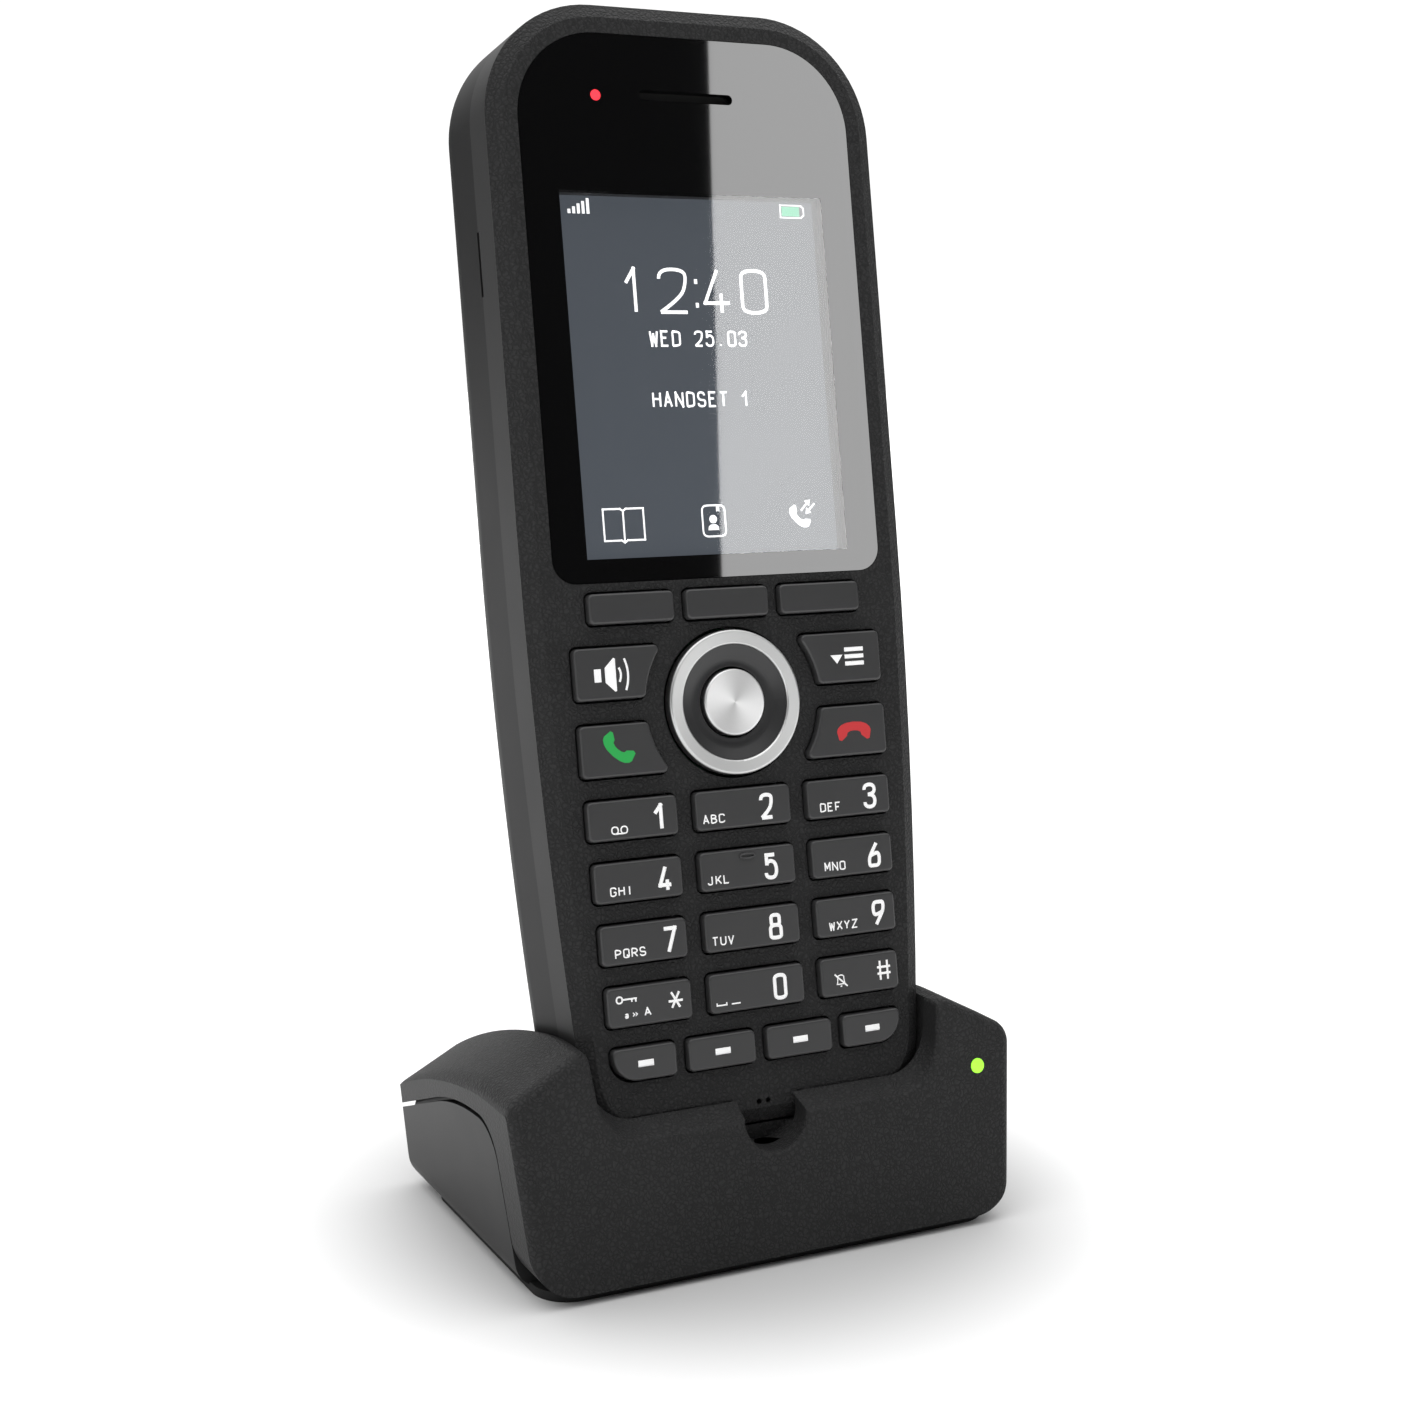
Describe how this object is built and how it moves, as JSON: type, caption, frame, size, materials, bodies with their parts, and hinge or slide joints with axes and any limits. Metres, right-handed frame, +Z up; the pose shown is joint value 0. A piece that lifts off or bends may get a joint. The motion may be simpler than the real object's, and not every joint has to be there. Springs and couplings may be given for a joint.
{
  "type": "cordless phone with base",
  "caption": "Cordless telephone handset with colour screen and raised keypad, leaning back in a small desk charging cradle.",
  "frame": {"origin": "centre of the whole phone's footprint box, on the surface that the base stands on", "axes": "+Z up, -Y towards the user (the keypad and screen face -Y and lean back), +X to the right seen from the front"},
  "size_m": [0.0662, 0.0473, 0.145],
  "materials": {
    "case_textured": "fine leather grain",
    "case_smooth": "satin",
    "cover_textured": "fine leather grain",
    "tub_smooth": "satin",
    "key_plastic": "satin",
    "pad_dark": "satin",
    "pad_silver": "turned",
    "glass": "gloss, black printed border",
    "display": "lit screen",
    "gasket": "matte",
    "red_lens": "lit",
    "green_lens": "lit",
    "rubber_black": "matte",
    "silicone": "matte",
    "board": "satin",
    "black_moulding": "satin",
    "gold_contact": "plated",
    "steel": "satin",
    "driver": "satin",
    "battery_wrap": "printed wrap"
  },
  "bodies": {
    "base": {"front_cover": "cover_textured", "lower_housing": "tub_smooth", "rubber_pad": "rubber_black", "ballast_plate": "steel", "base_board": "board", "power_socket": "black_moulding", "base_screws": "steel", "base_light": "green_lens", "contact_block": "black_moulding"},
    "handset": {"front_housing": "case_textured", "rear_housing": "case_smooth", "display_glass": "glass", "display_gasket": "gasket", "display_module": "display", "status_lens": "red_lens", "earpiece_mesh": "black_moulding", "earpiece": "driver", "microphone": "black_moulding", "keypad_mat": "silicone", "main_board": "board", "board_screws": "steel", "battery_pack": "battery_wrap", "battery_contacts": "gold_contact", "ringer_speaker": "driver", "antenna": "steel", "charge_pads": "gold_contact"},
    "charge_pins": {"charge_pins": "gold_contact"},
    "battery_cover": {"battery_cover": "case_smooth"},
    "pad_pivot": {"pad_pivot": "silicone"},
    "pad_ring": {"pad_rocker": "pad_dark", "pad_trim": "pad_silver"},
    "key_soft_left": {"key_soft_left": "key_plastic"},
    "key_soft_middle": {"key_soft_middle": "key_plastic"},
    "key_soft_right": {"key_soft_right": "key_plastic"},
    "key_speaker": {"key_speaker": "key_plastic"},
    "key_menu": {"key_menu": "key_plastic"},
    "key_call": {"key_call": "key_plastic"},
    "key_end": {"key_end": "key_plastic"},
    "key_1": {"key_1": "key_plastic"},
    "key_2": {"key_2": "key_plastic"},
    "key_3": {"key_3": "key_plastic"},
    "key_4": {"key_4": "key_plastic"},
    "key_5": {"key_5": "key_plastic"},
    "key_6": {"key_6": "key_plastic"},
    "key_7": {"key_7": "key_plastic"},
    "key_8": {"key_8": "key_plastic"},
    "key_9": {"key_9": "key_plastic"},
    "key_star": {"key_star": "key_plastic"},
    "key_0": {"key_0": "key_plastic"},
    "key_hash": {"key_hash": "key_plastic"},
    "key_left_outer": {"key_left_outer": "key_plastic"},
    "key_left_inner": {"key_left_inner": "key_plastic"},
    "key_right_inner": {"key_right_inner": "key_plastic"},
    "key_right_outer": {"key_right_outer": "key_plastic"},
    "key_ok": {"key_ok": "pad_silver"}
  },
  "joints": [
    {"name": "handset_lift", "type": "slide", "parent": "base", "child": "handset", "axis": [0, 0.1736, 0.9848], "range_m": [0, 0.06]},
    {"name": "battery_cover_off", "type": "slide", "parent": "handset", "child": "battery_cover", "axis": [0, 0.9848, -0.1736], "range_m": [0, 0.02]},
    {"name": "charge_pins_press", "type": "slide", "parent": "base", "child": "charge_pins", "axis": [0, -0.1736, -0.9848], "range_m": [0, 0.0006], "stiffness_N_per_m": 1500},
    {"name": "pad_tilt_up_down", "type": "hinge", "parent": "handset", "child": "pad_pivot", "pos_m": [0, -0.00766, 0.0642], "axis": [1, 0, 0], "range_deg": [-1.8, 1.8], "stiffness_Nm_per_rad": 0.4},
    {"name": "pad_tilt_left_right", "type": "hinge", "parent": "pad_pivot", "child": "pad_ring", "pos_m": [0, -0.00766, 0.0642], "axis": [0, 0.1736, 0.9848], "range_deg": [-1.8, 1.8], "stiffness_Nm_per_rad": 0.4},
    {"name": "press_soft_left", "type": "slide", "parent": "handset", "child": "key_soft_left", "axis": [0, 0.9848, -0.1736], "range_m": [0, 0.0005], "stiffness_N_per_m": 2500},
    {"name": "press_soft_middle", "type": "slide", "parent": "handset", "child": "key_soft_middle", "axis": [0, 0.9848, -0.1736], "range_m": [0, 0.0005], "stiffness_N_per_m": 2500},
    {"name": "press_soft_right", "type": "slide", "parent": "handset", "child": "key_soft_right", "axis": [0, 0.9848, -0.1736], "range_m": [0, 0.0005], "stiffness_N_per_m": 2500},
    {"name": "press_speaker", "type": "slide", "parent": "handset", "child": "key_speaker", "axis": [0, 0.9848, -0.1736], "range_m": [0, 0.0005], "stiffness_N_per_m": 2500},
    {"name": "press_menu", "type": "slide", "parent": "handset", "child": "key_menu", "axis": [0, 0.9848, -0.1736], "range_m": [0, 0.0005], "stiffness_N_per_m": 2500},
    {"name": "press_call", "type": "slide", "parent": "handset", "child": "key_call", "axis": [0, 0.9848, -0.1736], "range_m": [0, 0.0005], "stiffness_N_per_m": 2500},
    {"name": "press_end", "type": "slide", "parent": "handset", "child": "key_end", "axis": [0, 0.9848, -0.1736], "range_m": [0, 0.0005], "stiffness_N_per_m": 2500},
    {"name": "press_1", "type": "slide", "parent": "handset", "child": "key_1", "axis": [0, 0.9848, -0.1736], "range_m": [0, 0.0005], "stiffness_N_per_m": 2500},
    {"name": "press_2", "type": "slide", "parent": "handset", "child": "key_2", "axis": [0, 0.9848, -0.1736], "range_m": [0, 0.0005], "stiffness_N_per_m": 2500},
    {"name": "press_3", "type": "slide", "parent": "handset", "child": "key_3", "axis": [0, 0.9848, -0.1736], "range_m": [0, 0.0005], "stiffness_N_per_m": 2500},
    {"name": "press_4", "type": "slide", "parent": "handset", "child": "key_4", "axis": [0, 0.9848, -0.1736], "range_m": [0, 0.0005], "stiffness_N_per_m": 2500},
    {"name": "press_5", "type": "slide", "parent": "handset", "child": "key_5", "axis": [0, 0.9848, -0.1736], "range_m": [0, 0.0005], "stiffness_N_per_m": 2500},
    {"name": "press_6", "type": "slide", "parent": "handset", "child": "key_6", "axis": [0, 0.9848, -0.1736], "range_m": [0, 0.0005], "stiffness_N_per_m": 2500},
    {"name": "press_7", "type": "slide", "parent": "handset", "child": "key_7", "axis": [0, 0.9848, -0.1736], "range_m": [0, 0.0005], "stiffness_N_per_m": 2500},
    {"name": "press_8", "type": "slide", "parent": "handset", "child": "key_8", "axis": [0, 0.9848, -0.1736], "range_m": [0, 0.0005], "stiffness_N_per_m": 2500},
    {"name": "press_9", "type": "slide", "parent": "handset", "child": "key_9", "axis": [0, 0.9848, -0.1736], "range_m": [0, 0.0005], "stiffness_N_per_m": 2500},
    {"name": "press_star", "type": "slide", "parent": "handset", "child": "key_star", "axis": [0, 0.9848, -0.1736], "range_m": [0, 0.0005], "stiffness_N_per_m": 2500},
    {"name": "press_0", "type": "slide", "parent": "handset", "child": "key_0", "axis": [0, 0.9848, -0.1736], "range_m": [0, 0.0005], "stiffness_N_per_m": 2500},
    {"name": "press_hash", "type": "slide", "parent": "handset", "child": "key_hash", "axis": [0, 0.9848, -0.1736], "range_m": [0, 0.0005], "stiffness_N_per_m": 2500},
    {"name": "press_left_outer", "type": "slide", "parent": "handset", "child": "key_left_outer", "axis": [0, 0.9848, -0.1736], "range_m": [0, 0.0005], "stiffness_N_per_m": 2500},
    {"name": "press_left_inner", "type": "slide", "parent": "handset", "child": "key_left_inner", "axis": [0, 0.9848, -0.1736], "range_m": [0, 0.0005], "stiffness_N_per_m": 2500},
    {"name": "press_right_inner", "type": "slide", "parent": "handset", "child": "key_right_inner", "axis": [0, 0.9848, -0.1736], "range_m": [0, 0.0005], "stiffness_N_per_m": 2500},
    {"name": "press_right_outer", "type": "slide", "parent": "handset", "child": "key_right_outer", "axis": [0, 0.9848, -0.1736], "range_m": [0, 0.0005], "stiffness_N_per_m": 2500},
    {"name": "press_ok", "type": "slide", "parent": "handset", "child": "key_ok", "axis": [0, 0.9848, -0.1736], "range_m": [0, 0.0005], "stiffness_N_per_m": 2500}
  ]
}
